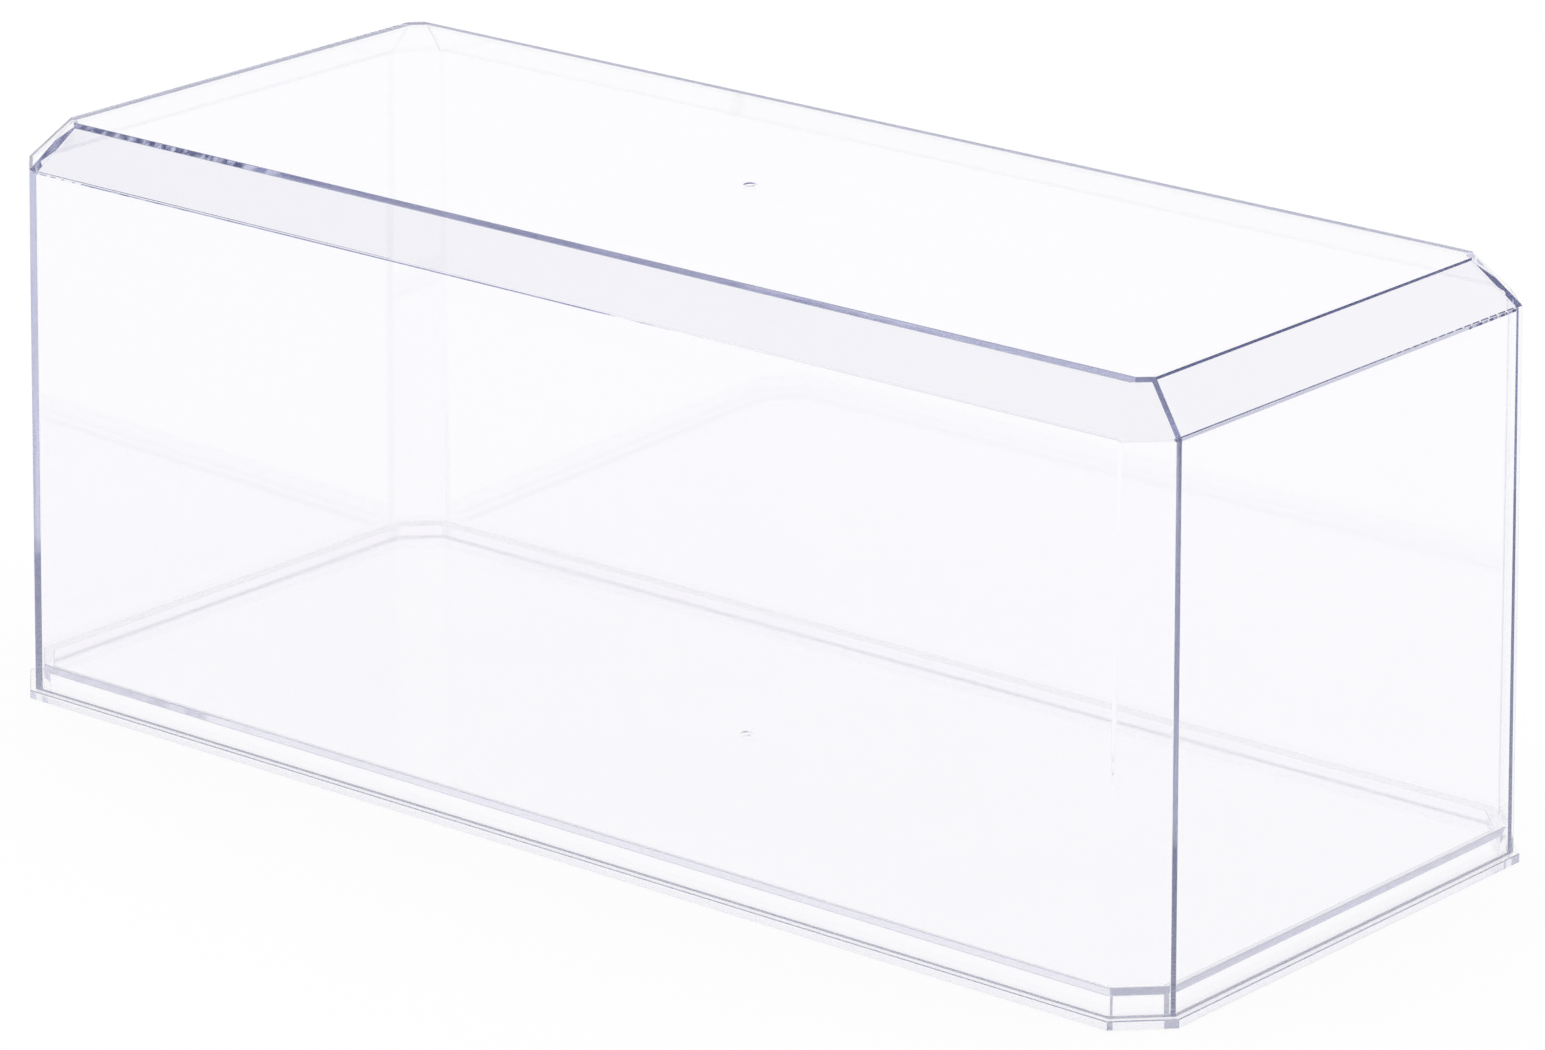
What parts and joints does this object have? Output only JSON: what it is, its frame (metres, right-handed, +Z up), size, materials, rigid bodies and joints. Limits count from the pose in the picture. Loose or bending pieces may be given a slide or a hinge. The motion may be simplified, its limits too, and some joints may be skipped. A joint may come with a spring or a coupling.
{
  "type": "model display case",
  "caption": "Clear two-piece display case for a scale model: a bevelled five-sided cover with cut corners lifts off a hollow tray whose raised platform locates it.",
  "frame": {"origin": "on the table, under the middle of the case", "axes": "+X along the long side, +Y towards the back long side, +Z up, the way the cover lifts"},
  "size_m": [0.3558, 0.1548, 0.1452],
  "materials": {
    "tray_plastic": "polished, water clear",
    "cover_plastic": "polished, water clear"
  },
  "bodies": {
    "tray": {"display_tray": "tray_plastic"},
    "cover": {"clear_cover": "cover_plastic"}
  },
  "joints": [
    {"name": "cover_lift", "type": "slide", "parent": "tray", "child": "cover", "axis": [0, 0, 1], "range_m": [0, 0.15]}
  ]
}
